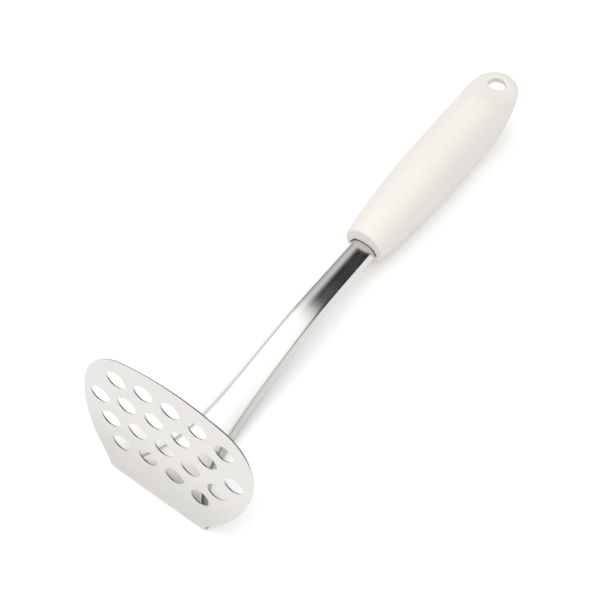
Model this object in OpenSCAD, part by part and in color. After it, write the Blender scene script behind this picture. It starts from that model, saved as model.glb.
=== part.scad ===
// One-piece pressed potato masher lying on a table: the perforated plate stands at one end,
// its foot is folded back into a flare, and the sheet narrows into a channel that the handle holds.
// X runs across the plate, +Y runs from the plate to the tip of the handle, and +Z is up.
// The origin is on the table, under the middle of the whole length.

/* [Overall] */
// Length from the front of the fold to the tip of the handle
overall_l = 279.5; // [240:0.5:340]
// Thickness of the pressed sheet
sheet_t = 0.8; // [0.7:0.05:1.4]

/* [Plate] */
// Greatest width of the plate
plate_w = 89.8; // [76:0.2:112]
// Length of the flat plate from the fold up to its top edge
plate_l = 65.3; // [60:0.1:80]
// Angle by which the plate leans back from upright
plate_lean = 16; // [0:1:30]
// Radius of the plate's gently curved top edge
crown_r = 128; // [100:1:200]
// Radius of the two top corners
corner_r = 22; // [14:0.5:26]
// Radius of the side edges as a share of the arc that would run right down to the fold
side_share = 0.92; // [0.75:0.01:0.98]
// Width of the sheet along the fold
fold_w = 53; // [44:0.5:58]
// Height above the fold's end to which the plate keeps that width
fold_lead = 0.5; // [0.3:0.1:2]
// Outside radius of the fold
fold_r = 2.5; // [1.8:0.1:4]

/* [Perforations] */
// Number of hole spacings in the plate's width
holes_across = 6.28; // [6:0.02:7.5]
// Length of one leaf-shaped hole as a share of the holes' spacing
leaf_share = 0.734; // [0.5:0.002:0.85]
// Number of row spacings in the plate's length
rows_down = 5.56; // [5.2:0.02:6.6]
// Height of one hole as a share of the rows' spacing
rise_share = 0.62; // [0.4:0.01:0.75]
// Distance of the first row below the top edge as a share of the rows' spacing
first_share = 0.928; // [0.75:0.002:1.1]
// Radius of the first row's arc
row_r = 127; // [100:1:180]

/* [Shaft] */
// Width of the channel where the flare ends
neck_w = 16.2; // [14:0.1:19]
// Width of the channel where it enters the handle
shaft_w = 14.1; // [12:0.1:15]
// Length over which the flare narrows to about a third of its extra width
flare_l = 17; // [12:0.2:24]
// Length over which the side flanges turn down to about two thirds of their angle
turn_l = 6; // [4:0.5:12]
// Slope of the side flanges below the horizontal
flange_a = 60; // [45:1:80]
// Straight width of a side flange below its shoulder
flange_l = 3; // [1.5:0.1:5]
// Outside radius of the shoulder between the face and a flange
shoulder_r = 3; // [2:0.1:4]
// Half angle of the channel's gently rounded face
face_a = 20; // [8:1:35]
// Distance from the fold at which the face has its full roundness
face_l = 50; // [30:1:80]
// Distance of the flanges' lower edges below the handle's middle
shaft_drop = 2.3; // [1:0.1:4]
// Distance from the fold at which the shaft starts to rise
rise_start = 15; // [5:1:45]
// Length over which the shaft rises
rise_l = 100; // [70:1:130]

/* [Handle] */
// Length of the handle
grip_l = 126; // [105:0.5:145]
// Greatest diameter of the handle
grip_d = 29.2; // [26:0.5:36]
// Diameter of the handle at its mouth
mouth_d = 20.8; // [18:0.2:26]
// Rounding of the mouth's outer edge
mouth_edge = 1.2; // [0.6:0.1:1.8]
// Length of the swell from the mouth to the greatest diameter
swell_l = 70; // [50:1:75]
// Length of the rounded end of the handle
end_l = 43.5; // [35:0.5:50]
// Length of the tab into which the end of the handle flattens
tab_l = 30; // [24:1:36]
// Height of the tab above the handle's middle
tab_rise = 7.5; // [5:0.5:11]
// Share of the round height that is left above the tab's middle
tab_top = 0.25; // [0.18:0.01:0.4]
// Share of the round height that is left below the tab's middle
tab_under = 0.16; // [0.12:0.01:0.3]
// Diameter of the hanging hole
hang_d = 9; // [6:0.5:11]
// Distance of the hanging hole's middle from the tip
hang_back = 10.3; // [9:0.1:15]

/* [Inside the handle] */
// Length of the tang inside the handle
tang_l = 56; // [40:1:62]
// Thickness of the grip around the core
grip_wall = 3.4; // [2.4:0.1:5]
// Length of the core
core_l = 74; // [66:1:78]
// Depth of the mouth in front of the core
mouth_depth = 3; // [2:0.5:6]
// Gap around the shaft in the mouth
mouth_gap = 0.6; // [0.3:0.1:1]
// Gap around the tang in the core
tang_gap = 0.1; // [0.05:0.05:0.3]
// Gap between the core and the grip
core_gap = 0.05; // [0.02:0.01:0.2]
// Diameter of the pin through the tang
pin_d = 4; // [3:0.5:5]
// Distance of the pin behind the mouth
pin_back = 34; // [20:1:36]
// Clearance around the pin
pin_gap = 0.05; // [0.02:0.01:0.1]

/* [Hidden] */

steel_colour = [0.82, 0.81, 0.79];
grip_colour = [0.94, 0.93, 0.90];
core_colour = [0.45, 0.46, 0.48];

// Rows of holes from the top edge down, each with its number of holes
ROW_COUNTS = [5, 6, 5, 4];

// The fold's axis lies at fold_y, one fold radius above the table. Stations are measured from it.
fold_y = fold_r - overall_l / 2;
mouth_s = overall_l - fold_r - grip_l;
tang_end_s = mouth_s + tang_l;

// The fold turns the sheet from lying flat up to the leaning plate.
fold_turn = 90 + plate_lean;

// Middle of a top corner, tangent inside both the side and the top edge
corner_x = plate_w / 2 - corner_r;
corner_drop = crown_r - sqrt(pow(crown_r - corner_r, 2) - pow(corner_x, 2));
corner_v = plate_l - corner_drop;

// The arc that would run from the side down to the fold's corner limits the side's radius.
fold_in = (plate_w - fold_w) / 2;
fold_down = corner_v - fold_lead;
side_r = side_share * (fold_in * fold_in + fold_down * fold_down) / (2 * fold_in);
side_x = plate_w / 2 - side_r;

// Where the straight edge from the fold's corner touches the side arc
edge_a = atan2(fold_down, side_r - fold_in) - acos(side_r / norm([side_r - fold_in, fold_down]));
edge_x = side_x + side_r * cos(edge_a);
edge_v = corner_v - side_r * sin(edge_a);

leaf_pitch = plate_w / holes_across;
leaf_l = leaf_share * leaf_pitch;
row_pitch = plate_l / rows_down;
leaf_h = rise_share * row_pitch;
row_first = first_share * row_pitch;

grip_r = grip_d / 2;
mouth_r = mouth_d / 2;
axis_z = grip_r;
lift = axis_z - shaft_drop;

// Straight steps in which the round surfaces are drawn
ring_sides = 40;
face_steps = 5;
shoulder_steps = 6;
fold_steps = 12;
// Angle left in a section that is meant to be flat, so that its radii stay finite
tiny = 0.00001;

function ease(u) = let (c = min(max(u, 0), 1)) c * c * (3 - 2 * c);
function mix(a, b, u) = a + (b - a) * u;

// ---- Channel section at station s, measured from the fold's axis ----

function half_width(s) =
    let (neck = mix(neck_w, shaft_w, min(s / mouth_s, 1)) / 2)
    neck + (fold_w / 2 - neck) * exp(-s / flare_l);
function flange_angle(s) = tiny + (flange_a - tiny) * (1 - exp(-s / turn_l));
function face_angle(s) = tiny / 2 + face_a * ease(s / face_l);
function flange_foot(s) = lift * ease((s - rise_start) / rise_l);

// Half of the section's outside as [x, drop below the crown, angle of its normal from +Z].
// The shoulder's arc keeps its developed length, so its radius grows as the sheet flattens.
function half_section(s, grow = 0) =
    let (
        w = half_width(s) + grow,
        a = face_angle(s),
        p = flange_angle(s),
        r = shoulder_r * (flange_a - face_a) / (p - a) + grow,
        xc = w - r * (sin(p) - sin(a)) - flange_l * cos(p),
        rc = xc / sin(a),
        zc = 2 * rc * pow(sin(a / 2), 2),
        zs = zc + r * (cos(a) - cos(p))
    )
    concat(
        [for (i = [0:face_steps]) let (q = a * i / face_steps) [rc * sin(q), 2 * rc * pow(sin(q / 2), 2), q]],
        [for (i = [1:shoulder_steps]) let (q = mix(a, p, i / shoulder_steps))
            [xc + r * (sin(q) - sin(a)), zc + r * (cos(a) - cos(q)), q]],
        [[w, zs + flange_l * sin(p), p]]
    );

function crown_z(s) =
    let (h = half_section(s), tip = h[len(h) - 1])
    flange_foot(s) + tip[1] + sheet_t * cos(tip[2]);

// The whole outside line from left to right, moved in by depth along its normals
function section_line(s, depth = 0, grow = 0) =
    let (
        h = half_section(s, grow),
        n = len(h),
        side = [for (p = h) [p[0] - depth * sin(p[2]), grow - p[1] - depth * cos(p[2])]]
    )
    concat([for (i = [n - 1:-1:1]) [-side[i][0], side[i][1]]], side);

function reverse(list) = [for (i = [len(list) - 1:-1:0]) list[i]];

// Closed loop of the sheet's section in the plane across the shaft
function sheet_loop(s) =
    concat(section_line(s), reverse(section_line(s, sheet_t)));

// A skin through equal rings of points. A strip's ends are closed between its two lines of points,
// and a round skin's ends by one face each.
module skin(rings, strip = false) {
    n = len(rings[0]);
    last = (len(rings) - 1) * n;
    sides = [for (i = [0:len(rings) - 2]) for (j = [0:n - 1])
        let (k = (j + 1) % n, a = i * n + j, b = i * n + k, c = a + n, d = b + n)
        each [[a, c, b], [b, c, d]]];
    caps = strip ? [for (j = [0:n / 2 - 2]) [j, j + 1, n - 2 - j, n - 1 - j]] : [[for (j = [0:n - 1]) j]];
    ends = [for (cap = caps) each [cap, reverse([for (j = cap) last + j])]];
    polyhedron(points = [for (ring = rings) each ring], faces = concat(sides, ends), convexity = 6);
}

// Stations lie closer together in the flare, where the section changes fast.
SHEET_STATIONS = concat(
    [for (i = [0:17]) face_l * pow(i / 18, 1.8)],
    [for (i = [0:9]) mix(face_l, rise_start + rise_l, i / 10)],
    [rise_start + rise_l, mouth_s, tang_end_s]
);

module channel() {
    rings = [for (s = SHEET_STATIONS) let (top = crown_z(s)) [for (p = sheet_loop(s)) [p[0], fold_y + s, top + p[1]]]];
    skin(rings, strip = true);
}

// ---- Plate and fold: the outline is drawn flat, with v = 0 at the fold and v = plate_l on top ----

module plate_outline() {
    crown_v = plate_l - crown_r;
    // Body between the side arcs
    intersection() {
        translate([side_x, corner_v]) circle(r = side_r, $fn = 180);
        translate([-side_x, corner_v]) circle(r = side_r, $fn = 180);
        translate([-plate_w / 2, edge_v]) square([plate_w, corner_v - edge_v]);
    }
    // Straight edges down to the fold, and the strip that is folded
    polygon([
        [-fold_w / 2, -2 * fold_r], [fold_w / 2, -2 * fold_r], [fold_w / 2, fold_lead], [edge_x, edge_v],
        [corner_x, corner_v], [-corner_x, corner_v], [-edge_x, edge_v], [-fold_w / 2, fold_lead]
    ]);
    // Top edge between the corners
    intersection() {
        translate([0, crown_v]) circle(r = crown_r, $fn = 360);
        polygon([
            [-corner_x, edge_v], [corner_x, edge_v], [corner_x, corner_v],
            crown_point(1, crown_v), crown_point(-1, crown_v), [-corner_x, corner_v]
        ]);
    }
    for (side = [-1, 1])
        translate([side * corner_x, corner_v]) circle(r = corner_r, $fn = 120);
}

// A point just outside the top edge, in line with the corner's middle
function crown_point(side, crown_v) =
    let (reach = (crown_r + 4) / (crown_r - corner_r))
    [side * corner_x * reach, crown_v + (corner_v - crown_v) * reach];

// One leaf: two equal arcs that meet in points
module leaf() {
    arc_r = (pow(leaf_l / 2, 2) + pow(leaf_h / 2, 2)) / leaf_h;
    shift = arc_r - leaf_h / 2;
    intersection() {
        translate([0, shift]) circle(r = arc_r, $fn = 72);
        translate([0, -shift]) circle(r = arc_r, $fn = 72);
    }
}

// Rows lie on arcs about one centre, and each row is set half a pitch from the next.
module leaves() {
    centre_v = plate_l - row_first - row_r;
    for (row = [0:len(ROW_COUNTS) - 1]) {
        radius = row_r - row * row_pitch;
        for (i = [0:ROW_COUNTS[row] - 1]) {
            x = (i - (ROW_COUNTS[row] - 1) / 2) * leaf_pitch;
            translate([x, centre_v + sqrt(radius * radius - x * x)]) leaf();
        }
    }
}

// One face of the folded sheet seen from the side, as [y, z] from the flare's end up past the plate
function fold_side(r) =
    let (reach = plate_l + 1)
    concat(
        [for (i = [0:fold_steps]) let (a = fold_turn * i / fold_steps) [-r * sin(a), fold_r - r * cos(a)]],
        [[reach * sin(plate_lean) - r * cos(plate_lean), fold_r + reach * cos(plate_lean) + r * sin(plate_lean)]]
    );

// The folded sheet drawn from the side and cut to the plate's outline and holes
module head() {
    translate([0, fold_y, 0])
        intersection() {
            rotate([90, 0, 90])
                linear_extrude(height = plate_w + 2, center = true)
                    polygon(concat(fold_side(fold_r), reverse(fold_side(fold_r - sheet_t))));
            translate([0, 0, fold_r])
                rotate([90 - plate_lean, 0, 0])
                    linear_extrude(height = 2 * fold_r + 2, center = true)
                        difference() {
                            plate_outline();
                            leaves();
                        }
        }
}

// ---- Handle ----

// Distance t runs from the mouth to the tip.
function plan_radius(t) =
    let (
        swell = grip_r - (grip_r - mouth_r) * pow(max(1 - t / swell_l, 0), 2.4),
        u = min(max((t - grip_l + end_l) / end_l, 0), 1),
        edge = t < mouth_edge ? mouth_edge - sqrt(pow(mouth_edge, 2) - pow(mouth_edge - t, 2)) : 0
    )
    (swell - edge) * sqrt(1 - pow(u, 4.4));
function tab_blend(t) = ease((t - grip_l + tab_l) / (tab_l * 0.8));
function grip_mid(t) = axis_z + tab_rise * tab_blend(t);
function grip_above(t) = plan_radius(t) * mix(1, tab_top, tab_blend(t));
function grip_below(t) = plan_radius(t) * mix(1, tab_under, tab_blend(t + 2));

function grip_ring(t) =
    [for (j = [0:ring_sides - 1])
        let (a = 360 * j / ring_sides, h = sin(a) > 0 ? grip_above(t) : grip_below(t))
        [plan_radius(t) * cos(a), fold_y + mouth_s + t, grip_mid(t) + h * sin(a)]];

GRIP_STATIONS = concat(
    [for (i = [0:3]) mouth_edge * (1 - cos(90 * i / 4))],
    [for (i = [0:11]) mix(mouth_edge, grip_l - end_l, i / 12)],
    [for (i = [0:23]) grip_l - end_l + end_l * sin(90 * i / 24)]
);

// The core narrows towards the mouth with the grip around it.
module core_body(grow = 0) {
    back = mouth_depth + core_l;
    translate([0, fold_y + mouth_s, axis_z])
        rotate([-90, 0, 0])
            rotate_extrude($fn = 96)
                polygon(concat(
                    [[0, mouth_depth - grow], [0, back + grow]],
                    [for (i = [12:-1:0])
                        let (t = mix(mouth_depth, back, i / 12), out = i == 0 ? -grow : i == 12 ? grow : 0)
                        [plan_radius(t) - grip_wall + grow, t + out]]
                ));
}

// Solid bar with the channel's outside shape, from station a to station b
module channel_bar(a, b, grow) {
    line = section_line(mouth_s, 0, grow);
    low = line[0][1] - sheet_t - grow;
    translate([0, fold_y + b, crown_z(mouth_s)])
        rotate([90, 0, 0])
            linear_extrude(height = b - a)
                polygon(concat([[line[0][0], low]], line, [[-line[0][0], low]]));
}

module tang_slot() {
    line = section_line(mouth_s, 0, tang_gap);
    inside = reverse(section_line(mouth_s, sheet_t + tang_gap));
    low = line[0][1] - sheet_t - tang_gap;
    n = len(inside);
    loop = concat([[line[0][0], low]], line, [[-line[0][0], low], [inside[0][0], low]], inside, [[inside[n - 1][0], low]]);
    translate([0, fold_y + tang_end_s + tang_gap, crown_z(mouth_s)])
        rotate([90, 0, 0])
            linear_extrude(height = tang_l)
                polygon(loop);
}

module pin_bar(r, half) {
    translate([0, fold_y + mouth_s + pin_back, axis_z - half])
        cylinder(r = r, h = 2 * half, $fn = 64);
}

pin_half = plan_radius(pin_back) - grip_wall - 1;

// ---- Pieces ----

// The one pressed sheet: plate, fold, flare, channel and tang
module pressed_body() {
    color(steel_colour)
        difference() {
            union() {
                head();
                channel();
            }
            pin_bar(pin_d / 2 + pin_gap, grip_r);
        }
}

module grip() {
    color(grip_colour)
        difference() {
            skin([for (t = GRIP_STATIONS) grip_ring(t)]);
            core_body(core_gap);
            channel_bar(mouth_s - 1, mouth_s + mouth_depth + 1, mouth_gap);
            translate([0, overall_l / 2 - hang_back, 0])
                cylinder(d = hang_d, h = grip_d + 2, $fn = 96);
        }
}

module handle_core() {
    color(core_colour)
        difference() {
            core_body();
            tang_slot();
            pin_bar(pin_d / 2 + pin_gap, pin_half + pin_gap);
        }
}

module tang_pin() {
    color(steel_colour) pin_bar(pin_d / 2, pin_half);
}

pressed_body();
grip();
handle_core();
tang_pin();
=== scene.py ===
import math

import bmesh
import bpy
from bpy.props import FloatProperty, FloatVectorProperty, IntProperty, PointerProperty
from mathutils import Matrix, Vector


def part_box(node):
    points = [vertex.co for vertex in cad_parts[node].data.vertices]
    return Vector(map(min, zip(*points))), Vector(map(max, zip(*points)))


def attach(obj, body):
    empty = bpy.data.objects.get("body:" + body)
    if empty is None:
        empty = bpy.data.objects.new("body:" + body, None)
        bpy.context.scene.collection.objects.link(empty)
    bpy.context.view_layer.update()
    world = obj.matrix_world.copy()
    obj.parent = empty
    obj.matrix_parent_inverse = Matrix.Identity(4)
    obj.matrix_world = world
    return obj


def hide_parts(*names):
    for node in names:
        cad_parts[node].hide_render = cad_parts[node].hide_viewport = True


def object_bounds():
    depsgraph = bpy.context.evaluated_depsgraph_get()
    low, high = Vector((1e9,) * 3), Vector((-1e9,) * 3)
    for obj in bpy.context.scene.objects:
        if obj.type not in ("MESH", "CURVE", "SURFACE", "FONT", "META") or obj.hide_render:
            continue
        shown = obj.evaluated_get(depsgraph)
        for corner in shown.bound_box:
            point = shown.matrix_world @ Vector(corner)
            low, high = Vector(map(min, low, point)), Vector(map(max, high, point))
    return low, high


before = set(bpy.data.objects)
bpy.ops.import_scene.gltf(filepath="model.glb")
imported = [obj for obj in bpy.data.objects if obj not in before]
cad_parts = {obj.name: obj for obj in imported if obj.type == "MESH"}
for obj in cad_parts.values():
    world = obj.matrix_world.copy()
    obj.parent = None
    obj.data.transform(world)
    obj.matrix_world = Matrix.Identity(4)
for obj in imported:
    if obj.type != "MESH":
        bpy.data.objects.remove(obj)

bl_info = {
    "name": "Potato masher",
    "version": (1, 0, 0),
    "blender": (4, 5, 0),
    "location": "3D View > Sidebar > Masher",
    "description": "Builds a one-piece pressed potato masher around its packed frame",
    "category": "Object",
}

CAD_LOW, CAD_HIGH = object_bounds()
MM = 0.001
OVERALL = CAD_HIGH.y - CAD_LOW.y
PLATE_W = CAD_HIGH.x - CAD_LOW.x
GRIP_LOW, GRIP_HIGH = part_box("grip")
SHEET_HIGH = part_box("pressed_body")[1]

# Leaf-shaped holes in each row, from the plate's top edge down
ROW_COUNTS = (5, 6, 5, 4)

# Steps that draw the round surfaces
FACE_STEPS = 12
SHOULDER_STEPS = 8
FOLD_STEPS = 20
FLARE_STEPS = 40
SHAFT_STEPS = 24
SIDE_STEPS = 30
CORNER_STEPS = 24
CROWN_STEPS = 24
LEAF_POINTS = 56
MOUTH_STEPS = 8
SWELL_STEPS = 48
END_STEPS = 72
CORE_STEPS = 24
GRIP_SIDES = 128
CUTTER_SIDES = 96
EDGE_SEGMENTS = 3
LIP_DEGREES = (12, 24, 36, 48, 60, 75, 90)

# Powers of the curves: how the flare's rings crowd at the fold, how the handle swells and how its end rounds
FLARE_CROWDING = 1.7
SWELL_POWER = 2.4
END_POWER = 4.4

# The handle's end flattens over this share of the tab, and its underside starts a little sooner
TAB_SHARE = 0.8
UNDER_LEAD = 2 * MM

# Slope that stands for flat, so that no radius is endless
LEAST_SLOPE = 1e-6

# Smallest angles that count as an edge
CUT_EDGE_ANGLE = math.radians(50)
SHARP_ANGLE = math.radians(32)

# Lumps of the finishes per metre
BRUSH_ALONG = 14.0
SMUDGES = 38.0
MOULD_GRAIN = 2600.0
MOULD_CLOUDS = 30.0
CORE_GRAIN = 1800.0
PIN_ACROSS, PIN_ALONG = 60.0, 4000.0

# Depths of the fine relief
BRUSH_DEPTH = 0.04 * MM
GRAIN_DEPTH = 0.05 * MM

# Stage
FLOOR_REACH = 20.0
FLOOR_DROP = 0.1 * MM
KEY_PLACE, KEY_SIZE = (-0.9, -0.25, 1.3), 0.8
FILL_PLACE, FILL_SIZE = (0.5, 0.9, 1.2), 1.2
SENSOR_W = 36.0
CLIP_NEAR, CLIP_FAR = 0.01, 60.0
VIEW_RIGHT = (0.8016, 0.5978, -0.0006)
VIEW_AHEAD = (-0.3272, 0.4379, -0.8373)


def length(name, text, value):
    return FloatProperty(name=name, description=text, default=value, min=0.0, max=1.0,
                         unit="LENGTH", subtype="DISTANCE", precision=4)


def angle(name, text, degrees):
    return FloatProperty(name=name, description=text, default=math.radians(degrees),
                         unit="ROTATION", subtype="ANGLE")


def share(name, text, value):
    return FloatProperty(name=name, description=text, default=value, min=0.0, max=1.0, subtype="FACTOR")


def strength(name, text, value, unit="NONE"):
    return FloatProperty(name=name, description=text, default=value, min=0.0, unit=unit)


def colour(name, text, value):
    return FloatVectorProperty(name=name, description=text, default=value, size=3,
                               min=0.0, max=1.0, subtype="COLOR")


class MasherPlateSizes(bpy.types.PropertyGroup):
    """Sizes of the perforated plate and its fold"""

    sheet_t: length("Sheet thickness", "Thickness of the pressed sheet", 0.8 * MM)
    lean: angle("Lean", "Angle by which the plate leans back from upright", 16)
    plate_l: length("Plate length", "Length of the flat plate from the fold to its top edge", 65.3 * MM)
    crown_r: length("Top radius", "Radius of the gently curved top edge", 128 * MM)
    corner_r: length("Corner radius", "Radius of the two top corners", 22 * MM)
    side_r: length("Side radius", "Radius of the two side edges", 49.06 * MM)
    fold_w: length("Fold width", "Width of the sheet along the fold", 53 * MM)
    fold_lead: length("Fold lead", "Height above the fold to which the plate keeps that width", 0.5 * MM)
    fold_r: length("Fold radius", "Outside radius of the fold", 2.5 * MM)
    leaf_l: length("Hole length", "Length of one leaf-shaped hole", 10.5 * MM)
    leaf_h: length("Hole height", "Height of one leaf-shaped hole", 7.3 * MM)
    leaf_pitch: length("Hole spacing", "Spacing of the holes along a row", 14.3 * MM)
    row_pitch: length("Row spacing", "Spacing of the rows", 11.75 * MM)
    row_first: length("First row", "Distance of the first row below the top edge", 10.9 * MM)
    row_r: length("Row radius", "Radius of the first row's arc", 127 * MM)
    edge: length("Edge rounding", "Rounding of the sheet's cut edges", 0.14 * MM)


class MasherShaftSizes(bpy.types.PropertyGroup):
    """Sizes of the flare and the channel-shaped shaft"""

    neck_w: length("Neck width", "Width that the channel would have at the fold without its flare", 16.2 * MM)
    shaft_w: length("Shaft width", "Width of the channel at the handle", 14.1 * MM)
    flare_l: length("Flare length", "Length over which the flare loses about two thirds of its width", 17 * MM)
    turn_l: length("Turn length", "Length over which the flanges turn about two thirds of the way down", 6 * MM)
    flange_a: angle("Flange slope", "Slope of the side flanges", 60)
    flange_l: length("Flange width", "Straight width of a side flange", 3 * MM)
    shoulder_r: length("Shoulder radius", "Radius between the face and a flange", 3 * MM)
    face_a: angle("Face roundness", "Half angle of the gently rounded face", 20)
    face_l: length("Face length", "Distance from the fold at which the face is fully round", 50 * MM)
    lift: length("Lift", "Height of the flanges' lower edges at the handle", 12.3 * MM)
    rise_start: length("Rise start", "Distance from the fold at which the shaft starts to rise", 15 * MM)
    rise_l: length("Rise length", "Length over which the shaft rises", 100 * MM)


class MasherGripSizes(bpy.types.PropertyGroup):
    """Sizes of the moulded handle"""

    mouth_d: length("Mouth diameter", "Diameter of the handle at its mouth", 20.8 * MM)
    mouth_edge: length("Mouth edge", "Rounding of the mouth's outer edge", 1.2 * MM)
    swell_l: length("Swell", "Length of the swell from the mouth", 70 * MM)
    end_l: length("End", "Length of the rounded end", 43.5 * MM)
    tab_l: length("Tab", "Length of the tab into which the end flattens", 30 * MM)
    tab_rise: length("Tab rise", "Height of the tab above the handle's middle", 7.5 * MM)
    tab_top: share("Tab top", "Share of the round height left above the tab's middle", 0.25)
    tab_under: share("Tab underside", "Share of the round height left below the tab's middle", 0.16)
    hang_d: length("Hanging hole", "Diameter of the hanging hole", 9 * MM)
    hang_back: length("Hole distance", "Distance of the hanging hole's middle from the tip", 10.3 * MM)
    hang_lip: length("Hole lip", "Rounding of the hanging hole's edges", 0.9 * MM)
    wall: length("Wall", "Thickness of the grip around the core", 3.4 * MM)
    core_l: length("Core length", "Length of the core inside the grip", 74 * MM)
    core_gap: length("Core gap", "Gap between the core and the grip", 0.05 * MM)
    mouth_depth: length("Mouth depth", "Depth of the mouth in front of the core", 3 * MM)
    mouth_gap: length("Mouth gap", "Gap around the shaft in the mouth", 0.6 * MM)


class MasherFinishes(bpy.types.PropertyGroup):
    """Colours and finishes"""

    steel: colour("Steel", "Colour of the stainless sheet", (0.68, 0.667, 0.66))
    steel_rough: share("Plate roughness", "Roughness of the satin plate", 0.34)
    shaft_rough: share("Shaft roughness", "Roughness of the polished shaft", 0.17)
    # Painted shade: how bright the sheet's colour stays low on the plate near the fold
    painted_fold_shade: share("Painted fold shade", "Brightness left in the sheet's colour by the painted shade near the fold", 0.84)
    brush: IntProperty(name="Brush lines", description="Brush lines per metre of width",
                       default=5200, min=100)
    plastic: colour("Handle", "Colour of the moulded handle", (0.665, 0.65, 0.61))
    plastic_rough: share("Handle roughness", "Roughness of the moulded handle", 0.5)
    core: colour("Core", "Colour of the core seen in the mouth", (0.30, 0.275, 0.24))


class MasherStageLook(bpy.types.PropertyGroup):
    """Light and camera"""

    sky: strength("Sky", "Strength of the white ceiling", 1.65)
    horizon: strength("Horizon", "Strength of the walls around", 0.4)
    key: strength("Main light", "Power of the softbox on the left", 4.0, "POWER")
    fill: strength("Fill light", "Power of the soft light behind on the right", 7.0, "POWER")
    lens: FloatProperty(name="Lens", description="Focal length of the camera in millimetres",
                        default=84.2, min=10.0)
    place: FloatVectorProperty(name="Camera", description="Place of the camera", size=3,
                               subtype="TRANSLATION", unit="LENGTH",
                               default=(0.20548, -0.31141, 0.55572))


# ---- Small helpers ----


def ease(u):
    c = min(max(u, 0.0), 1.0)
    return c * c * (3 - 2 * c)


def mix(a, b, u):
    return a + (b - a) * u


def new_object(name, data):
    piece = bpy.data.objects.new(name, data)
    bpy.context.scene.collection.objects.link(piece)
    return piece


def baked(piece):
    """Applies the piece's modifiers for good and gives the piece back."""
    graph = bpy.context.evaluated_depsgraph_get()
    mesh = bpy.data.meshes.new_from_object(piece.evaluated_get(graph), depsgraph=graph)
    piece.modifiers.clear()
    old = piece.data
    piece.data = mesh
    mesh.name = piece.name
    if old.users == 0:
        bpy.data.meshes.remove(old)
    return piece


def coat(mesh, finish):
    """Leaves one finish on the mesh and shades it smooth."""
    mesh.materials.clear()
    mesh.materials.append(finish)
    for polygon in mesh.polygons:
        polygon.use_smooth = True
        polygon.material_index = 0


def loft(bm, rings, end_faces=(False, False), first=None):
    """Quads between closed rings of points, and an end face where end_faces asks for one.

    first holds corners that are in the mesh already.
    """
    rows = [first] if first else []
    rows += [[bm.verts.new(p) for p in ring] for ring in rings]
    sides = len(rows[0])
    for a, b in zip(rows, rows[1:]):
        for j in range(sides):
            k = (j + 1) % sides
            bm.faces.new((a[j], a[k], b[k], b[j]))
    if end_faces[0]:
        bm.faces.new(rows[0][::-1])
    if end_faces[1]:
        bm.faces.new(rows[-1])
    return rows


# ---- The sheet's shape ----


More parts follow.
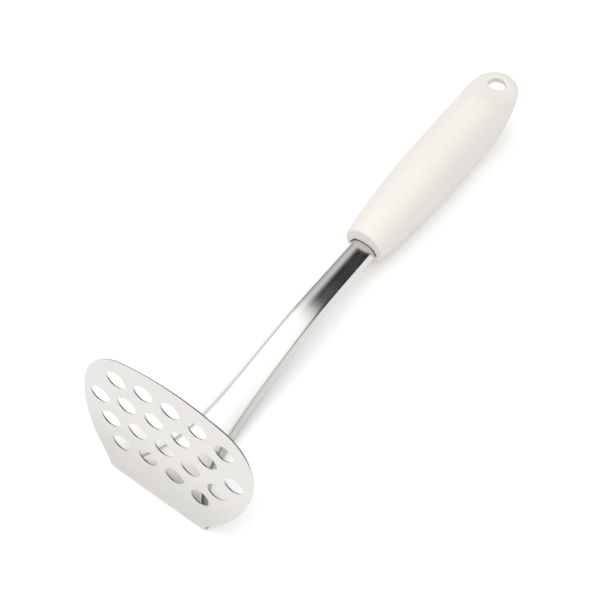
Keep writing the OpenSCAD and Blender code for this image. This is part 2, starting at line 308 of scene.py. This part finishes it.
class Sheet:
    """The pressed sheet's side view and cross-sections, in metres.

    s runs along the table from the fold, and v runs up the plate from the fold.
    """

    def __init__(self, plate, shaft):
        self.plate = plate
        self.shaft = shaft
        self.fold_y = plate.fold_r - OVERALL / 2
        self.mouth_s = GRIP_LOW.y - self.fold_y
        self.end_s = SHEET_HIGH.y - self.fold_y
        self.corner_x = PLATE_W / 2 - plate.corner_r
        drop = plate.crown_r - math.sqrt((plate.crown_r - plate.corner_r) ** 2 - self.corner_x ** 2)
        self.corner_v = plate.plate_l - drop

    def half_width(self, s):
        neck = mix(self.shaft.neck_w, self.shaft.shaft_w, min(s / self.mouth_s, 1.0)) / 2
        return neck + (self.plate.fold_w / 2 - neck) * math.exp(-s / self.shaft.flare_l)

    def half_section(self, s, grow=0.0):
        """Half of the outside line as (x, drop below the crown, slope)."""
        shaft = self.shaft
        face = LEAST_SLOPE / 2 + shaft.face_a * ease(s / shaft.face_l)
        flange = LEAST_SLOPE + (shaft.flange_a - LEAST_SLOPE) * (1 - math.exp(-s / shaft.turn_l))
        shoulder_r = shaft.shoulder_r * (shaft.flange_a - shaft.face_a) / (flange - face) + grow
        half_w = self.half_width(s) + grow
        face_x = half_w - shoulder_r * (math.sin(flange) - math.sin(face)) - shaft.flange_l * math.cos(flange)
        face_r = face_x / math.sin(face)
        face_drop = 2 * face_r * math.sin(face / 2) ** 2
        points = []
        for i in range(FACE_STEPS + 1):
            a = face * i / FACE_STEPS
            points.append((face_r * math.sin(a), 2 * face_r * math.sin(a / 2) ** 2, a))
        for i in range(1, SHOULDER_STEPS + 1):
            a = mix(face, flange, i / SHOULDER_STEPS)
            x = face_x + shoulder_r * (math.sin(a) - math.sin(face))
            points.append((x, face_drop + shoulder_r * (math.cos(face) - math.cos(a)), a))
        shoulder_drop = face_drop + shoulder_r * (math.cos(face) - math.cos(flange))
        points.append((half_w, shoulder_drop + shaft.flange_l * math.sin(flange), flange))
        return points

    def crown(self, s):
        """Height of the face's middle line above the table."""
        edge_drop, edge_slope = self.half_section(s)[-1][1:]
        foot = self.shaft.lift * ease((s - self.shaft.rise_start) / self.shaft.rise_l)
        return foot + edge_drop + self.plate.sheet_t * math.cos(edge_slope)

    def line(self, s, depth=0.0, grow=0.0):
        """The section's line from left to right as (x, height from the crown)."""
        half = [(x - depth * math.sin(slope), grow - drop - depth * math.cos(slope))
                for x, drop, slope in self.half_section(s, grow)]
        return [(-x, z) for x, z in half[:0:-1]] + half

    def channel_ring(self, s):
        top = self.crown(s)
        loop = self.line(s) + self.line(s, self.plate.sheet_t)[::-1]
        return [Vector((x, self.fold_y + s, top + z)) for x, z in loop]

    def fold_ring(self, a):
        fold_r = self.plate.fold_r
        xs = [x for x, _ in self.line(0.0)]

        def side(r):
            return [Vector((x, self.fold_y - r * math.sin(a), fold_r - r * math.cos(a))) for x in xs]

        return side(fold_r - self.plate.sheet_t) + side(fold_r)[::-1]

    def rings(self):
        """All rings from the plate's foot through the fold and the channel to the end of the tang."""
        shaft = self.shaft
        turn = math.pi / 2 + self.plate.lean
        fold = [self.fold_ring(turn * (1 - i / FOLD_STEPS)) for i in range(FOLD_STEPS)]
        flare = [shaft.face_l * (i / FLARE_STEPS) ** FLARE_CROWDING for i in range(FLARE_STEPS)]
        rise_end = shaft.rise_start + shaft.rise_l
        rise = [mix(shaft.face_l, rise_end, i / SHAFT_STEPS) for i in range(SHAFT_STEPS + 1)]
        return fold + [self.channel_ring(s) for s in flare + rise + [self.mouth_s, self.end_s]]

    def outline(self):
        """The plate's flat outline as (x, v), once round, starting along the fold."""
        plate = self.plate
        side_x = PLATE_W / 2 - plate.side_r
        dx, dv = plate.fold_w / 2 - side_x, self.corner_v - plate.fold_lead
        side_a = math.atan2(dv, dx) - math.acos(plate.side_r / math.hypot(dx, dv))
        crown_v = plate.plate_l - plate.crown_r
        join_a = math.atan2(self.corner_v - crown_v, self.corner_x)

        def arc(x, v, r, start, end, steps):
            turns = [mix(start, end, i / steps) for i in range(steps + 1)]
            return [(x + r * math.cos(a), v + r * math.sin(a)) for a in turns]

        right = [(plate.fold_w / 2, plate.fold_lead)]
        right += arc(side_x, self.corner_v, plate.side_r, -side_a, 0.0, SIDE_STEPS)
        right += arc(self.corner_x, self.corner_v, plate.corner_r, 0.0, join_a, CORNER_STEPS)[1:]
        right += arc(0.0, crown_v, plate.crown_r, join_a, math.pi / 2, CROWN_STEPS)[1:]
        left = [(-x, v) for x, v in right[-2::-1]]
        return [(x, 0.0) for x, _ in self.line(0.0)] + right + left

    def plate_matrix(self):
        """From the flat drawing to the leaning plate, with the sheet's back face at height zero."""
        plate = self.plate
        lay = Matrix.Translation((0, 0, plate.fold_r - plate.sheet_t))
        turn = Matrix.Rotation(math.pi / 2 - plate.lean, 4, "X")
        return Matrix.Translation((0, self.fold_y, plate.fold_r)) @ turn @ lay


# ---- The perforated plate in geometry nodes ----


class Nodes:
    """Adds and links nodes in a tree with few words."""

    def __init__(self, tree):
        self.tree = tree

    def add(self, kind, inputs=(), **settings):
        node = self.tree.nodes.new(kind)
        for name, value in settings.items():
            setattr(node, name, value)
        for key, value in dict(inputs).items():
            self.put(node.inputs[key], value)
        return node

    def put(self, socket, value):
        if isinstance(value, bpy.types.NodeSocket):
            self.tree.links.new(value, socket)
        else:
            socket.default_value = value

    def math(self, operation, a, b=0.0):
        return self.add("ShaderNodeMath", {0: a, 1: b}, operation=operation).outputs[0]

    def square(self, a):
        return self.math("POWER", a, 2.0)

    def flat(self, x, y=0.0):
        return self.add("ShaderNodeCombineXYZ", {"X": x, "Y": y}).outputs[0]

    def place(self):
        """Each point's own place, as its parts."""
        here = self.add("GeometryNodeInputPosition").outputs[0]
        return self.add("ShaderNodeSeparateXYZ", {0: here}).outputs

    def moved(self, geometry, place):
        settings = {"Geometry": geometry, "Position": place}
        return self.add("GeometryNodeSetPosition", settings).outputs[0]

    def joined(self, pieces):
        join = self.add("GeometryNodeJoinGeometry")
        for piece in pieces:
            self.tree.links.new(piece, join.inputs[0])
        return join.outputs[0]


def leaf_curve(n, given):
    """One leaf: a circle's points moved onto two equal arcs that meet in points."""
    half_l = n.math("MULTIPLY", given["Hole length"], 0.5)
    half_h = n.math("MULTIPLY", given["Hole height"], 0.5)
    squares = n.math("ADD", n.square(half_l), n.square(half_h))
    arc_r = n.math("DIVIDE", squares, given["Hole height"])
    shift = n.math("SUBTRACT", arc_r, half_h)
    circle = n.add("GeometryNodeCurvePrimitiveCircle", {"Resolution": LEAF_POINTS, "Radius": 1.0})
    spot = n.place()
    x = n.math("MULTIPLY", spot["X"], half_l)
    under = n.math("SUBTRACT", n.square(arc_r), n.square(x))
    rise = n.math("SUBTRACT", n.math("SQRT", under), shift)
    y = n.math("MULTIPLY", rise, n.math("SIGN", spot["Y"]))
    return n.moved(circle.outputs[0], n.flat(x, y))


def leaf_row(n, given, row, count):
    """The middles of one row's leaves, on an arc about the centre that all rows share."""
    start = n.math("MULTIPLY", given["Hole spacing"], (1 - count) / 2)
    line = n.add("GeometryNodeMeshLine", {
        "Count": count, "Start Location": n.flat(start), "Offset": n.flat(given["Hole spacing"]),
    })
    radius = n.math("SUBTRACT", given["Row radius"], n.math("MULTIPLY", given["Row spacing"], float(row)))
    centre = n.math("SUBTRACT", given["First row height"], given["Row radius"])
    x = n.place()["X"]
    reach = n.math("SUBTRACT", n.square(radius), n.square(n.math("ABSOLUTE", x)))
    height = n.math("ADD", centre, n.math("SQRT", reach))
    return n.moved(line.outputs[0], n.flat(x, height))


def plate_tree():
    """Fills the plate's outline, cuts the rows of leaf-shaped holes and gives the sheet its thickness."""
    tree = bpy.data.node_groups.new("Perforated plate", "GeometryNodeTree")
    sockets = {
        "Outline": "Geometry", "Hole length": "Float", "Hole height": "Float", "Hole spacing": "Float",
        "Row spacing": "Float", "First row height": "Float", "Row radius": "Float",
        "Thickness": "Float", "Material": "Material",
    }
    for name, kind in sockets.items():
        tree.interface.new_socket(name, in_out="INPUT", socket_type="NodeSocket" + kind)
    tree.interface.new_socket("Plate", in_out="OUTPUT", socket_type="NodeSocketGeometry")
    n = Nodes(tree)
    given = tree.nodes.new("NodeGroupInput").outputs

    points = n.joined([leaf_row(n, given, row, count) for row, count in enumerate(ROW_COUNTS)])
    leaves = n.add("GeometryNodeInstanceOnPoints", {"Points": points, "Instance": leaf_curve(n, given)})
    leaves = n.add("GeometryNodeRealizeInstances", {0: leaves.outputs[0]}).outputs[0]
    rim = n.add("GeometryNodeMeshToCurve", {"Mesh": given["Outline"]}).outputs[0]

    # Flat sheet with its holes, then its thickness
    flat = n.add("GeometryNodeFillCurve", {0: n.joined([leaves, rim])}).outputs[0]
    thick = n.add("GeometryNodeExtrudeMesh", {
        "Mesh": flat, "Offset Scale": given["Thickness"], "Individual": False,
    }).outputs[0]
    back = n.add("GeometryNodeFlipFaces", {0: flat}).outputs[0]
    closed = n.joined([back, thick])
    merged = n.add("GeometryNodeMergeByDistance", {"Geometry": closed, "Distance": 1e-6}).outputs[0]
    real = n.add("GeometryNodeRealizeInstances", {0: merged}).outputs[0]
    done = n.add("GeometryNodeSetMaterial", {"Geometry": real, "Material": given["Material"]}).outputs[0]
    tree.links.new(done, tree.nodes.new("NodeGroupOutput").inputs[0])
    return tree


def plate_mesh(sheet, finish):
    """The plate as a plain closed mesh, flat, with its back face at height zero."""
    points = sheet.outline()
    outline = bpy.data.meshes.new("plate_outline")
    edges = [(i, (i + 1) % len(points)) for i in range(len(points))]
    outline.from_pydata([(x, v, 0.0) for x, v in points], edges, [])
    piece = new_object("plate", outline)
    modifier = piece.modifiers.new("Perforated plate", "NODES")
    tree = plate_tree()
    modifier.node_group = tree
    plate = sheet.plate
    values = {
        "Hole length": plate.leaf_l, "Hole height": plate.leaf_h, "Hole spacing": plate.leaf_pitch,
        "Row spacing": plate.row_pitch, "First row height": plate.plate_l - plate.row_first,
        "Row radius": plate.row_r, "Thickness": plate.sheet_t, "Material": finish,
    }
    for item in tree.interface.items_tree:
        if item.in_out == "INPUT" and item.name in values:
            modifier[item.identifier] = values[item.name]
    mesh = baked(piece).data
    bpy.data.objects.remove(piece)
    return mesh


# ---- Materials ----


def material(name, base, roughness, metallic):
    made = bpy.data.materials.new(name)
    made.use_nodes = True
    n = Nodes(made.node_tree)
    shader = made.node_tree.nodes["Principled BSDF"]
    shader.inputs["Base Color"].default_value = (*base, 1.0)
    shader.inputs["Metallic"].default_value = metallic
    shader.inputs["Roughness"].default_value = roughness
    return made, n, shader, n.add("ShaderNodeTexCoord").outputs["Object"]


def noise(n, coordinates, scale, detail=2.0, stretch=None):
    if stretch:
        coordinates = n.add("ShaderNodeMapping", {"Vector": coordinates, "Scale": stretch}).outputs[0]
    settings = {"Vector": coordinates, "Scale": scale, "Detail": detail}
    return n.add("ShaderNodeTexNoise", settings).outputs["Fac"]


def ranged(n, value, from_low, from_high, low, high, kind="LINEAR"):
    limits = {"Value": value, "From Min": from_low, "From Max": from_high, "To Min": low, "To Max": high}
    return n.add("ShaderNodeMapRange", limits, interpolation_type=kind).outputs[0]


def bumped(n, shader, height, strength, depth):
    bump = n.add("ShaderNodeBump", {"Height": height, "Strength": strength, "Distance": depth})
    n.put(shader.inputs["Normal"], bump.outputs[0])


def stainless(look):
    """Satin stainless sheet with lines brushed along it, more polished on the shaft, with painted shade near
    the fold.
    """
    made, n, shader, place = material("satin stainless", look.steel, look.steel_rough, 1.0)
    lines = noise(n, place, 1.0, 3.0, (look.brush, BRUSH_ALONG, BRUSH_ALONG))
    smudges = noise(n, place, SMUDGES, 3.0)
    axes = n.add("ShaderNodeSeparateXYZ", {0: place}).outputs

    # The shaft is polished from the end of the flare on
    start = CAD_LOW.y + 50 * MM
    end = start + 70 * MM
    polish = ranged(n, axes["Y"], start, end, look.steel_rough, look.shaft_rough, "SMOOTHSTEP")
    streak = ranged(n, lines, 0.3, 0.7, -0.035, 0.035)
    smudge = ranged(n, smudges, 0.35, 0.65, -0.02, 0.03)
    n.put(shader.inputs["Roughness"], n.math("ADD", n.math("ADD", polish, streak), smudge))

    # Painted shade: the sheet's colour is darker low on the plate near the fold, standing in for the shaded
    # table it mirrors there
    up = ranged(n, axes["Z"], 2 * MM, 40 * MM, look.painted_fold_shade, 1.0, "SMOOTHSTEP")
    along = ranged(n, axes["Y"], CAD_LOW.y + 20 * MM, CAD_LOW.y + 40 * MM, 0.0, 1.0, "SMOOTHSTEP")
    tone = n.math("MULTIPLY", ranged(n, lines, 0.25, 0.75, 0.965, 1.0), n.math("MAXIMUM", up, along))
    tint = n.add("ShaderNodeMix", data_type="RGBA", blend_type="MULTIPLY")
    tint.inputs[0].default_value = 1.0
    tint.inputs[6].default_value = (*look.steel, 1.0)
    n.put(tint.inputs[7], tone)
    n.put(shader.inputs["Base Color"], tint.outputs[2])
    bumped(n, shader, lines, 0.12, BRUSH_DEPTH)
    return made


def moulded(look):
    """Matte warm off-white moulding with a fine spark-eroded grain."""
    made, n, shader, place = material("off-white moulding", look.plastic, look.plastic_rough, 0.0)
    grain = noise(n, place, MOULD_GRAIN)
    cloud = noise(n, place, MOULD_CLOUDS, 3.0)
    grained = ranged(n, grain, 0.3, 0.7, look.plastic_rough - 0.05, look.plastic_rough + 0.05)
    n.put(shader.inputs["Roughness"], n.math("ADD", grained, ranged(n, cloud, 0.35, 0.65, -0.03, 0.03)))
    tint = n.add("ShaderNodeMix", data_type="RGBA")
    n.put(tint.inputs[0], ranged(n, cloud, 0.3, 0.7, 0.0, 1.0))
    tint.inputs[6].default_value = (*[c * 0.985 for c in look.plastic], 1.0)
    tint.inputs[7].default_value = (*look.plastic, 1.0)
    n.put(shader.inputs["Base Color"], tint.outputs[2])
    bumped(n, shader, grain, 0.25, GRAIN_DEPTH)
    return made


def inner_plastic(look):
    """Dull moulding of the core."""
    made, n, shader, place = material("inner moulding", look.core, 0.6, 0.0)
    grain = noise(n, place, CORE_GRAIN)
    n.put(shader.inputs["Roughness"], ranged(n, grain, 0.3, 0.7, 0.52, 0.68))
    bumped(n, shader, grain, 0.2, GRAIN_DEPTH)
    return made


def turned_steel(look):
    """Plain turned pin with fine rings round it."""
    made, n, shader, place = material("turned steel", [c * 0.9 for c in look.steel], 0.3, 1.0)
    rings = noise(n, place, 1.0, 2.0, (PIN_ACROSS, PIN_ACROSS, PIN_ALONG))
    n.put(shader.inputs["Roughness"], ranged(n, rings, 0.3, 0.7, 0.24, 0.38))
    bumped(n, shader, rings, 0.15, BRUSH_DEPTH)
    return made


def dress(node, finish):
    """Gives a CAD node its finish in all its slots."""
    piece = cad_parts[node]
    if not piece.material_slots:
        piece.data.materials.append(finish)
    for entry in piece.material_slots:
        entry.material = finish


def finish_piece(piece, replaced):
    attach(piece, "root")
    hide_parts(replaced)


# ---- Operators ----


def whole_sheet(sheet, finish):
    """The closed mesh of the plate, the fold, the flare, the channel and the tang."""
    plate = plate_mesh(sheet, finish)
    plate.transform(sheet.plate_matrix())
    bm = bmesh.new()
    bm.from_mesh(plate)
    bpy.data.meshes.remove(plate)
    rings = sheet.rings()
    # The fold starts from the plate's own corners, whose end faces are then inside the sheet
    foot = [min(bm.verts, key=lambda v: (v.co - p).length_squared) for p in rings[0]]
    inner = [f for f in bm.faces if all(v in foot for v in f.verts)]
    bmesh.ops.delete(bm, geom=inner, context="FACES")
    loft(bm, rings[1:], (False, True), foot)
    open_edges = [e for e in bm.edges if len(e.link_faces) != 2]
    if open_edges:
        raise RuntimeError("the sheet is not closed: %d edges" % len(open_edges))
    bmesh.ops.recalc_face_normals(bm, faces=bm.faces)
    mesh = bpy.data.meshes.new("pressed_sheet")
    bm.to_mesh(mesh)
    bm.free()
    return mesh


class MASHER_OT_pressed_sheet(bpy.types.Operator):
    """Builds the one pressed sheet: perforated plate, fold, flare, channel and tang"""

    bl_idname = "masher.pressed_sheet"
    bl_label = "Pressed sheet"

    def execute(self, context):
        scene = context.scene
        finish = stainless(scene.masher_finish)
        mesh = whole_sheet(Sheet(scene.masher_plate, scene.masher_shaft), finish)
        coat(mesh, finish)
        piece = new_object("pressed_sheet", mesh)
        bevel = piece.modifiers.new("Cut edges", "BEVEL")
        bevel.width = scene.masher_plate.edge
        bevel.segments = EDGE_SEGMENTS
        bevel.limit_method = "ANGLE"
        bevel.angle_limit = CUT_EDGE_ANGLE
        bevel.harden_normals = True
        baked(piece)
        finish_piece(piece, "pressed_body")
        return {"FINISHED"}


def solid(bm, name):
    """A new object from a closed bmesh, with its faces turned outwards."""
    bmesh.ops.recalc_face_normals(bm, faces=bm.faces)
    mesh = bpy.data.meshes.new(name)
    bm.to_mesh(mesh)
    bm.free()
    return new_object(name, mesh)


class Grip:
    """The handle's outside, in metres. t runs from the mouth to the tip."""

    def __init__(self, sizes):
        self.sizes = sizes
        self.length = GRIP_HIGH.y - GRIP_LOW.y
        self.radius = (GRIP_HIGH.x - GRIP_LOW.x) / 2

    def half_width(self, t):
        sizes = self.sizes
        mouth_r, edge_r = sizes.mouth_d / 2, sizes.mouth_edge
        swell = self.radius - (self.radius - mouth_r) * max(1 - t / sizes.swell_l, 0.0) ** SWELL_POWER
        end = min(max((t - self.length + sizes.end_l) / sizes.end_l, 0.0), 1.0)
        edge = 0.0
        if t < edge_r:
            edge = edge_r - math.sqrt(max(edge_r ** 2 - (edge_r - t) ** 2, 0.0))
        return (swell - edge) * math.sqrt(max(1 - end ** END_POWER, 0.0))

    def flatness(self, t):
        """How far the round handle has turned into the flat tab, from 0 to 1."""
        tab_l = self.sizes.tab_l
        return ease((t - self.length + tab_l) / (tab_l * TAB_SHARE))

    def middle(self, t):
        return self.radius + self.sizes.tab_rise * self.flatness(t)

    def above(self, t):
        return self.half_width(t) * mix(1.0, self.sizes.tab_top, self.flatness(t))

    def below(self, t):
        return self.half_width(t) * mix(1.0, self.sizes.tab_under, self.flatness(t + UNDER_LEAD))

    def ring(self, t):
        ring = []
        for j in range(GRIP_SIDES):
            a = 2 * math.pi * j / GRIP_SIDES
            height = self.above(t) if math.sin(a) > 0 else self.below(t)
            x, z = self.half_width(t) * math.cos(a), self.middle(t) + height * math.sin(a)
            ring.append(Vector((x, GRIP_LOW.y + t, z)))
        return ring

    def surface(self, x, y, top):
        """Height of the upper or the lower surface over a place."""
        t = y - GRIP_LOW.y
        round_share = math.sqrt(max(1 - (x / max(self.half_width(t), 1e-6)) ** 2, 0.0))
        return self.middle(t) + (self.above(t) if top else -self.below(t)) * round_share

    def body(self):
        sizes = self.sizes
        end_t = self.length - sizes.end_l
        quarter = math.pi / 2
        stations = [sizes.mouth_edge * (1 - math.cos(quarter * i / MOUTH_STEPS)) for i in range(MOUTH_STEPS)]
        stations += [mix(sizes.mouth_edge, end_t, i / SWELL_STEPS) for i in range(SWELL_STEPS)]
        stations += [end_t + sizes.end_l * math.sin(quarter * i / END_STEPS) for i in range(END_STEPS)]
        bm = bmesh.new()
        last = loft(bm, [self.ring(t) for t in stations], (True, False))[-1]
        tip = bm.verts.new((0, GRIP_HIGH.y, self.middle(self.length)))
        for j in range(GRIP_SIDES):
            bm.faces.new((last[j], last[(j + 1) % GRIP_SIDES], tip))
        return solid(bm, "moulded_grip")

    def core_space(self):
        """The room for the core inside the grip, a gap longer at both ends."""
        sizes = self.sizes
        gap = sizes.core_gap
        back = sizes.mouth_depth + sizes.core_l
        longer = {0: -gap, CORE_STEPS: gap}
        turns = [2 * math.pi * j / CUTTER_SIDES for j in range(CUTTER_SIDES)]
        rings = []
        for i in range(CORE_STEPS + 1):
            t = mix(sizes.mouth_depth, back, i / CORE_STEPS)
            y = GRIP_LOW.y + t + longer.get(i, 0.0)
            r = self.half_width(t) - sizes.wall + gap
            rings.append([Vector((r * math.cos(a), y, self.radius + r * math.sin(a))) for a in turns])
        bm = bmesh.new()
        loft(bm, rings, (True, True))
        return solid(bm, "core_space")

    def mouth_space(self, sheet):
        """The opening that follows the shaft's section, cut past both its ends."""
        sizes = self.sizes
        line = sheet.line(sheet.mouth_s, 0.0, sizes.mouth_gap)
        low = line[0][1] - sheet.plate.sheet_t - sizes.mouth_gap
        loop = [(line[0][0], low)] + line + [(-line[0][0], low)]
        top = sheet.crown(sheet.mouth_s)
        ends = (GRIP_LOW.y - MM, GRIP_LOW.y + sizes.mouth_depth + MM)
        bm = bmesh.new()
        loft(bm, [[Vector((x, y, top + z)) for x, z in loop] for y in ends], (True, True))
        return solid(bm, "mouth_space")

    def hole_ring(self, reach, sink, top):
        """A ring round the hanging hole, sunk by that much into the upper or the lower surface."""
        centre_y = GRIP_HIGH.y - self.sizes.hang_back
        ring = []
        for j in range(CUTTER_SIDES):
            a = 2 * math.pi * (j + 0.5) / CUTTER_SIDES
            x, y = reach * math.cos(a), centre_y + reach * math.sin(a)
            z = self.surface(x, y, top)
            ring.append(Vector((x, y, z - sink if top else z + sink)))
        return ring

    def hole_space(self):
        """The hanging hole, which widens in a round lip at both surfaces."""
        r, lip = self.sizes.hang_d / 2, self.sizes.hang_lip
        # Two rings stand outside the surface, and the rest follow the lip's arc as (reach, sink)
        steps = [(r + lip * 1.3, -2 * MM), (r + lip * 1.1, -lip * 0.05)]
        for degrees in LIP_DEGREES:
            a = math.radians(degrees)
            steps.append((r + lip * (1 - math.sin(a)), lip * (1 - math.cos(a))))
        rings = [self.hole_ring(reach, sink, False) for reach, sink in steps]
        rings += [self.hole_ring(reach, sink, True) for reach, sink in reversed(steps)]
        bm = bmesh.new()
        loft(bm, rings, (True, True))
        return solid(bm, "hole_space")


class MASHER_OT_grip(bpy.types.Operator):
    """Builds the moulded handle with its mouth, core space and hanging hole"""

    bl_idname = "masher.grip"
    bl_label = "Handle"

    def execute(self, context):
        scene = context.scene
        grip = Grip(scene.masher_grip)
        sheet = Sheet(scene.masher_plate, scene.masher_shaft)
        piece = grip.body()
        cutters = [grip.core_space(), grip.mouth_space(sheet), grip.hole_space()]
        for cutter in cutters:
            cut = piece.modifiers.new("Cut", "BOOLEAN")
            cut.operation = "DIFFERENCE"
            cut.solver = "EXACT"
            cut.object = cutter
        baked(piece)
        for cutter in cutters:
            bpy.data.meshes.remove(cutter.data)
        coat(piece.data, moulded(scene.masher_finish))
        piece.data.set_sharp_from_angle(angle=SHARP_ANGLE)
        finish_piece(piece, "grip")
        return {"FINISHED"}


class MASHER_OT_inner_parts(bpy.types.Operator):
    """Gives the core and the pin inside the handle their finishes"""

    bl_idname = "masher.inner_parts"
    bl_label = "Core and pin"

    def execute(self, context):
        look = context.scene.masher_finish
        dress("handle_core", inner_plastic(look))
        dress("tang_pin", turned_steel(look))
        return {"FINISHED"}


def world_light(look):
    """White ceiling and front, and a dark back of the room that the polished shaft mirrors."""
    world = bpy.data.worlds.new("studio")
    world.use_nodes = True
    n = Nodes(world.node_tree)
    background = world.node_tree.nodes["Background"]
    way = n.add("ShaderNodeSeparateXYZ", {0: n.add("ShaderNodeTexCoord").outputs["Generated"]}).outputs
    # The ways to the back wall are dark, and less so at its left end
    behind = ranged(n, way["Y"], 0.29, 0.39, 0.0, 1.0, "SMOOTHSTEP")
    dark = n.math("MULTIPLY", behind, ranged(n, way["X"], -0.6, -0.27, 0.5, 1.0, "SMOOTHSTEP"))
    dome = ranged(n, way["Z"], 0.05, 0.7, look.horizon, look.sky, "SMOOTHSTEP")
    lit = n.math("MULTIPLY", ranged(n, dark, 0.0, 1.0, 1.0, 0.0), dome)
    # Where the room is seen directly it is as pale as the floor
    seen = n.add("ShaderNodeLightPath").outputs["Is Camera Ray"]
    background.inputs["Color"].default_value = (1.0, 0.995, 0.985, 1.0)
    n.put(background.inputs["Strength"], n.math("MAXIMUM", lit, seen))
    return world


def softbox(name, place, size, power):
    """A square lamp that shines at the middle of the floor."""
    lamp = bpy.data.lights.new(name, "AREA")
    lamp.shape = "RECTANGLE"
    lamp.size = lamp.size_y = size
    lamp.energy = power
    holder = new_object(name, lamp)
    holder.location = place
    holder.rotation_euler = (-Vector(place)).to_track_quat("-Z", "Y").to_euler()
    return holder


def white_floor():
    corners = [(-FLOOR_REACH, -FLOOR_REACH, 0), (FLOOR_REACH, -FLOOR_REACH, 0),
               (FLOOR_REACH, FLOOR_REACH, 0), (-FLOOR_REACH, FLOOR_REACH, 0)]
    mesh = bpy.data.meshes.new("floor")
    mesh.from_pydata(corners, [], [(0, 1, 2, 3)])
    made, _, shader, _ = material("white table", (0.93, 0.93, 0.925), 0.6, 0.0)
    shader.inputs["Specular IOR Level"].default_value = 0.2
    mesh.materials.append(made)
    table = new_object("floor", mesh)
    table.location.z = -FLOOR_DROP
    return table


def aimed_camera(look):
    camera = bpy.data.cameras.new("camera")
    camera.lens = look.lens
    camera.sensor_width = SENSOR_W
    camera.clip_start, camera.clip_end = CLIP_NEAR, CLIP_FAR
    ahead = Vector(VIEW_AHEAD).normalized()
    right = Vector(VIEW_RIGHT)
    right = (right - ahead * right.dot(ahead)).normalized()
    turn = Matrix((right, right.cross(ahead), -ahead)).transposed().to_4x4()
    holder = new_object("camera", camera)
    holder.matrix_world = Matrix.Translation(Vector(look.place)) @ turn
    return holder


class MASHER_OT_stage(bpy.types.Operator):
    """Sets up the pale floor, the soft light and the camera"""

    bl_idname = "masher.stage"
    bl_label = "Stage"

    def execute(self, context):
        scene = context.scene
        look = scene.masher_stage
        table = white_floor()
        scene.world = world_light(look)
        softbox("key", KEY_PLACE, KEY_SIZE, look.key)
        # The fill only lightens the shadows, so the polished shaft doesn't mirror it
        fill = softbox("fill", FILL_PLACE, FILL_SIZE, look.fill)
        fill.visible_glossy = False
        scene.camera = aimed_camera(look)
        scene.view_settings.view_transform = "Standard"
        return {"FINISHED"}


class MASHER_PT_panel(bpy.types.Panel):
    """Lists the masher's pieces and sizes"""

    bl_idname = "MASHER_PT_panel"
    bl_label = "Potato masher"
    bl_space_type = "VIEW_3D"
    bl_region_type = "UI"
    bl_category = "Masher"

    def draw(self, context):
        layout = self.layout
        for operator in OPERATORS:
            layout.operator(operator.bl_idname)
        for name in GROUPS:
            group = getattr(context.scene, name)
            box = layout.box()
            box.label(text=group.bl_rna.description)
            for key in group.__annotations__:
                box.prop(group, key)


GROUPS = {
    "masher_plate": MasherPlateSizes,
    "masher_shaft": MasherShaftSizes,
    "masher_grip": MasherGripSizes,
    "masher_finish": MasherFinishes,
    "masher_stage": MasherStageLook,
}
OPERATORS = (MASHER_OT_pressed_sheet, MASHER_OT_grip, MASHER_OT_inner_parts, MASHER_OT_stage)
CLASSES = tuple(GROUPS.values()) + OPERATORS + (MASHER_PT_panel,)


def register():
    for cls in CLASSES:
        bpy.utils.register_class(cls)
    for name, group in GROUPS.items():
        setattr(bpy.types.Scene, name, PointerProperty(type=group))


def unregister():
    for name in GROUPS:
        delattr(bpy.types.Scene, name)
    for cls in reversed(CLASSES):
        bpy.utils.unregister_class(cls)


def main():
    register()
    bpy.ops.masher.pressed_sheet()
    bpy.ops.masher.grip()
    bpy.ops.masher.inner_parts()
    bpy.ops.masher.stage()


if __name__ == "__main__":
    main()
